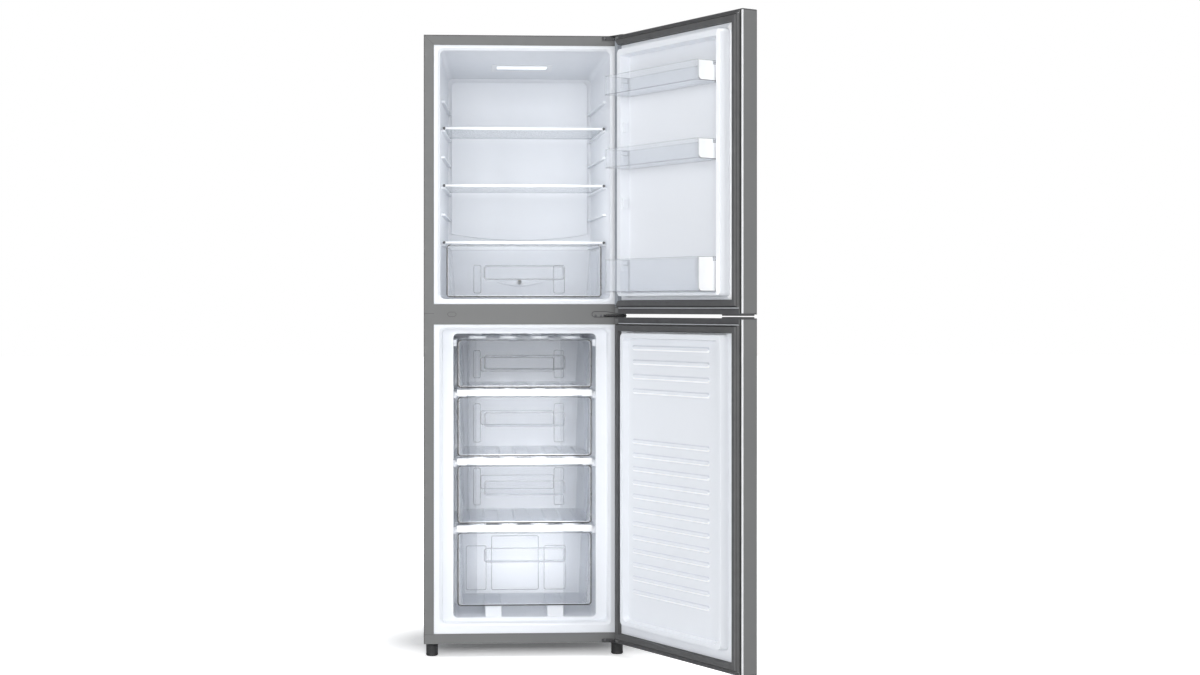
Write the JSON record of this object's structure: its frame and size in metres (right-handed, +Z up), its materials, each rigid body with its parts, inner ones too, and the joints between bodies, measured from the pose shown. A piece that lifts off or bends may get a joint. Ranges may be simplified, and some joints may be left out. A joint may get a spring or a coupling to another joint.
{
  "type": "bottom freezer refrigerator",
  "caption": "Tall free-standing refrigerator with a shelved fridge compartment over a drawer freezer; both doors stand open on right-hand hinges.",
  "frame": {"origin": "on the floor, at the middle of the cabinet's footprint (the open doors are outside it)", "axes": "+Z up; the cabinet's front faces -Y; +X is towards the hinges, to the right seen from the front"},
  "size_m": [0.8295, 1.0041, 1.687],
  "materials": {
    "cabinet_paint": "satin grey paint",
    "zinc_sheet": "galvanised sheet, dull",
    "back_paint": "grey paint",
    "liner_white": "vacuum-formed, semi-gloss",
    "white_plastic": "moulded, semi-gloss",
    "foam": "rigid insulating foam",
    "gasket_grey": "flexible magnetic seal",
    "cap_grey": "moulded grey plastic",
    "clear_plastic": "clear moulded plastic",
    "glass": "toughened glass",
    "diffuser": "translucent",
    "board_green": "circuit board",
    "coil_white": "white-coated tube",
    "aluminium": "plain",
    "compressor_black": "black enamel",
    "black_plastic": "moulded",
    "black_rubber": "matt",
    "copper": "drawn tube, dull",
    "hinge_steel": "plated"
  },
  "bodies": {
    "cabinet": {"outer_wrap": "cabinet_paint", "back_panel": "back_paint", "base_pan": "zinc_sheet", "compressor_plate": "zinc_sheet", "mullion_rail": "cabinet_paint", "bottom_rail": "cabinet_paint", "fridge_liner": "liner_white", "freezer_liner": "liner_white", "cabinet_foam": "foam", "lamp_bezel": "white_plastic", "lamp_lens": "diffuser", "lamp_board": "board_green", "evaporator_coils": "coil_white", "cold_plate": "aluminium", "compressor": "compressor_black", "compressor_terminal_box": "black_plastic", "compressor_grommets": "black_rubber", "refrigerant_pipes": "copper", "skin_condensers": "copper", "drip_tray": "white_plastic", "drain_tube": "white_plastic", "hinge_top": "hinge_steel", "hinge_middle": "hinge_steel", "hinge_bottom": "hinge_steel", "mullion_plug": "cap_grey", "rear_glides": "black_plastic", "freezer_shelf_bar_1": "white_plastic", "freezer_shelf_bar_2": "white_plastic", "freezer_shelf_bar_3": "white_plastic"},
    "fridge_door": {"fridge_door_skin": "cabinet_paint", "fridge_door_top_cap": "cap_grey", "fridge_door_bottom_cap": "cap_grey", "fridge_door_liner": "liner_white", "fridge_door_gasket": "gasket_grey", "fridge_door_foam": "foam"},
    "freezer_door": {"freezer_door_skin": "cabinet_paint", "freezer_door_top_cap": "cap_grey", "freezer_door_bottom_cap": "cap_grey", "freezer_door_liner": "liner_white", "freezer_door_gasket": "gasket_grey", "freezer_door_foam": "foam"},
    "door_bin_1": {"door_bin_1": "clear_plastic", "door_bin_1_end_cap": "white_plastic"},
    "door_bin_2": {"door_bin_2": "clear_plastic", "door_bin_2_end_cap": "white_plastic"},
    "door_bin_3": {"door_bin_3": "clear_plastic", "door_bin_3_end_cap": "white_plastic"},
    "fridge_shelf_1": {"fridge_shelf_1_glass": "glass", "fridge_shelf_1_trim": "white_plastic"},
    "fridge_shelf_2": {"fridge_shelf_2_glass": "glass", "fridge_shelf_2_trim": "white_plastic"},
    "crisper_cover": {"crisper_cover_glass": "glass", "crisper_cover_trim": "white_plastic"},
    "crisper": {"crisper_drawer": "clear_plastic"},
    "freezer_drawer_1": {"freezer_drawer_1": "clear_plastic"},
    "freezer_drawer_2": {"freezer_drawer_2": "clear_plastic"},
    "freezer_drawer_3": {"freezer_drawer_3": "clear_plastic"},
    "freezer_drawer_4": {"freezer_drawer_4": "clear_plastic"},
    "front_foot_left": {"front_foot_left": "black_plastic"},
    "front_foot_right": {"front_foot_right": "black_plastic"}
  },
  "joints": [
    {"name": "fridge_door_hinge", "type": "hinge", "parent": "cabinet", "child": "fridge_door", "pos_m": [0.263, -0.278, 1.307], "axis": [0, 0, 1], "range_deg": [-119.5, 0]},
    {"name": "freezer_door_hinge", "type": "hinge", "parent": "cabinet", "child": "freezer_door", "pos_m": [0.263, -0.278, 0.48], "axis": [0, 0, 1], "range_deg": [-119.5, 0]},
    {"name": "fridge_shelf_1_slide", "type": "slide", "parent": "cabinet", "child": "fridge_shelf_1", "axis": [0, -1, 0], "range_m": [0, 0.25]},
    {"name": "fridge_shelf_2_slide", "type": "slide", "parent": "cabinet", "child": "fridge_shelf_2", "axis": [0, -1, 0], "range_m": [0, 0.25]},
    {"name": "crisper_cover_slide", "type": "slide", "parent": "cabinet", "child": "crisper_cover", "axis": [0, -1, 0], "range_m": [0, 0.25]},
    {"name": "crisper_slide", "type": "slide", "parent": "cabinet", "child": "crisper", "axis": [0, -1, 0], "range_m": [0, 0.19]},
    {"name": "freezer_drawer_1_slide", "type": "slide", "parent": "cabinet", "child": "freezer_drawer_1", "axis": [0, -1, 0], "range_m": [0, 0.29]},
    {"name": "freezer_drawer_2_slide", "type": "slide", "parent": "cabinet", "child": "freezer_drawer_2", "axis": [0, -1, 0], "range_m": [0, 0.29]},
    {"name": "freezer_drawer_3_slide", "type": "slide", "parent": "cabinet", "child": "freezer_drawer_3", "axis": [0, -1, 0], "range_m": [0, 0.29]},
    {"name": "freezer_drawer_4_slide", "type": "slide", "parent": "cabinet", "child": "freezer_drawer_4", "axis": [0, -1, 0], "range_m": [0, 0.185]},
    {"name": "door_bin_1_lift", "type": "slide", "parent": "fridge_door", "child": "door_bin_1", "axis": [0, 0, 1], "range_m": [0, 0.03]},
    {"name": "door_bin_2_lift", "type": "slide", "parent": "fridge_door", "child": "door_bin_2", "axis": [0, 0, 1], "range_m": [0, 0.03]},
    {"name": "door_bin_3_lift", "type": "slide", "parent": "fridge_door", "child": "door_bin_3", "axis": [0, 0, 1], "range_m": [0, 0.03]},
    {"name": "front_foot_left_turn", "type": "hinge", "parent": "cabinet", "child": "front_foot_left", "pos_m": [-0.253, -0.218, 0.03], "axis": [0, 0, 1], "continuous": true},
    {"name": "front_foot_right_turn", "type": "hinge", "parent": "cabinet", "child": "front_foot_right", "pos_m": [0.253, -0.218, 0.03], "axis": [0, 0, 1], "continuous": true}
  ]
}
